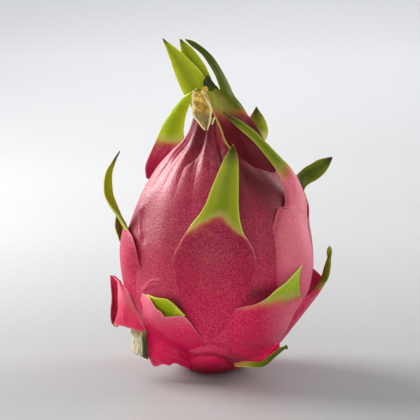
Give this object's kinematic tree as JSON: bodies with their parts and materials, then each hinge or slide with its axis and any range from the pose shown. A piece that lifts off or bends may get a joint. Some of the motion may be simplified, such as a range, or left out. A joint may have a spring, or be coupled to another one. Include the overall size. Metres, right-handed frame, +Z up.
{
  "type": "dragon fruit",
  "caption": "Ripe red dragon fruit with leafy green-tipped scales, a pleated neck and a cut stem, standing on a small flat spot as fresh produce.",
  "frame": {"origin": "centre of the flat spot that the fruit stands on", "axes": "+Z up from the flat spot through the neck, -Y towards the front, where the broadest leafy scale is, +X to the right seen from the front"},
  "size_m": [0.105, 0.0988, 0.1501],
  "materials": {
    "rind": "satin",
    "leaf": "satin",
    "dried_flower": "matte",
    "stem": "matte"
  },
  "bodies": {
    "root": {"crown_leaf_back": "leaf", "crown_leaf_left": "leaf", "crown_leaf_stub": "leaf", "flower_flap": "dried_flower", "flower_knot": "dried_flower", "fruit_body": "rind", "scale_back": "leaf", "scale_back_left": "leaf", "scale_back_right": "leaf", "scale_back_upper": "leaf", "scale_flared": "leaf", "scale_foot_left": "leaf", "scale_foot_right": "leaf", "scale_front": "leaf", "scale_left": "leaf", "scale_low_back": "leaf", "scale_low_back_left": "leaf", "scale_low_back_right": "leaf", "scale_low_far_right": "leaf", "scale_low_left": "leaf", "scale_low_right": "leaf", "scale_right": "leaf", "scale_side_left": "leaf", "scale_side_right": "leaf", "scale_upper_far_right": "leaf", "scale_upper_left": "leaf", "scale_upper_right": "leaf", "stem_stub": "stem"}
  },
  "joints": []
}
